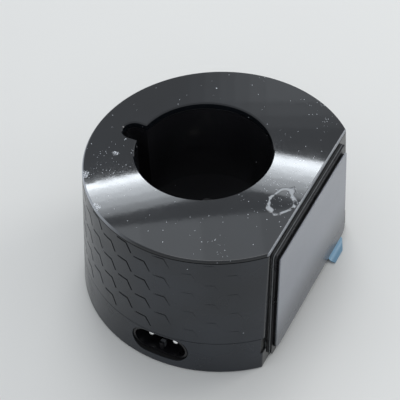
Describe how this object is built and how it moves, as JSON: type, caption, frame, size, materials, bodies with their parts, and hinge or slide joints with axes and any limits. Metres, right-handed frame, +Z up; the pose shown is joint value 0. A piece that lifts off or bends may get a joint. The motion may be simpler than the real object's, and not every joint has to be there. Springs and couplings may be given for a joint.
{
  "type": "shaver charging stand",
  "caption": "Drum-shaped charging stand for an electric shaver, with a keyed round dock, honeycomb side wall, pin inlet and adhesive wall plate on its flat side.",
  "frame": {"origin": "on the table plane, on the drum's axis, at the underside of the anti-slip mat", "axes": "+Z up along the drum's axis; +X out of the flat side with the wall plate; the power inlet faces -Y and the dock's keyway points to -X"},
  "size_m": [0.0822, 0.0936, 0.0486],
  "materials": {
    "cover_plastic": "glossy black moulding, polished deck",
    "shell_plastic": "glossy black moulding with a honeycomb relief",
    "tray_plastic": "glossy black moulding",
    "mat_rubber": "matt rubber sheet",
    "screw_steel": "zinc plated",
    "small_screw_steel": "zinc plated",
    "board_screw_steel": "zinc plated",
    "cup_plastic": "black moulding, smooth inside",
    "gasket_rubber": "soft black seal",
    "block_plastic": "black insulating moulding",
    "pin_plating_left": "nickel plated brass",
    "pin_plating_right": "nickel plated brass",
    "spring_steel_left": "bright spring wire",
    "spring_steel_right": "bright spring wire",
    "terminal_brass": "tinned brass",
    "retainer_plastic": "pale insulating moulding",
    "inlet_plastic": "black moulding, slightly grained",
    "inlet_pin_plating": "bright nickel plated",
    "inlet_seal_rubber": "soft black seal",
    "board_laminate": "green solder mask",
    "capacitor_can": "sleeved metal can",
    "choke_ferrite": "wound ferrite core",
    "chip_resin": "moulded resin",
    "diode_resin": "moulded resin",
    "lead_red": "soft insulation",
    "lead_black": "soft insulation",
    "lead_white": "soft insulation",
    "lead_blue": "soft insulation",
    "ballast_steel": "dull grey steel",
    "plate_plastic": "black moulding",
    "pad_foam": "black adhesive foam with rough edges",
    "liner_film": "smooth grey film",
    "tab_film": "soft light blue film"
  },
  "bodies": {
    "wall_mount": {"wall_plate": "plate_plastic", "adhesive_pad": "pad_foam", "release_liner": "liner_film", "pull_tab": "tab_film"},
    "stand": {"top_cover": "cover_plastic", "body_shell": "shell_plastic", "base_tray": "tray_plastic", "anti_slip_mat": "mat_rubber", "base_screws": "screw_steel", "cup_screws": "small_screw_steel", "board_screws": "board_screw_steel", "dock_cup": "cup_plastic", "dock_gasket": "gasket_rubber", "contact_block": "block_plastic", "contact_spring_left": "spring_steel_left", "contact_spring_right": "spring_steel_right", "contact_terminals": "terminal_brass", "contact_retainer": "retainer_plastic", "inlet_housing": "inlet_plastic", "inlet_pins": "inlet_pin_plating", "inlet_seal": "inlet_seal_rubber", "circuit_board": "board_laminate", "smoothing_capacitor": "capacitor_can", "choke": "choke_ferrite", "regulator_chip": "chip_resin", "rectifier_diode": "diode_resin", "inlet_lead_positive": "lead_red", "inlet_lead_negative": "lead_black", "contact_lead_left": "lead_white", "contact_lead_right": "lead_blue", "ballast_weight": "ballast_steel"},
    "contact_left": {"contact_pin_left": "pin_plating_left"},
    "contact_right": {"contact_pin_right": "pin_plating_right"}
  },
  "joints": [
    {"name": "stand_lift", "type": "slide", "parent": "wall_mount", "child": "stand", "axis": [0, 0, 1], "range_m": [0, 0.008]},
    {"name": "contact_left_travel", "type": "slide", "parent": "stand", "child": "contact_left", "axis": [0, 0, -1], "range_m": [0, 0.0015], "stiffness_N_per_m": 400, "springref_m": -0.0015, "deforming": ["contact_spring_left"]},
    {"name": "contact_right_travel", "type": "slide", "parent": "stand", "child": "contact_right", "axis": [0, 0, -1], "range_m": [0, 0.0015], "stiffness_N_per_m": 400, "springref_m": -0.0015, "deforming": ["contact_spring_right"]}
  ]
}
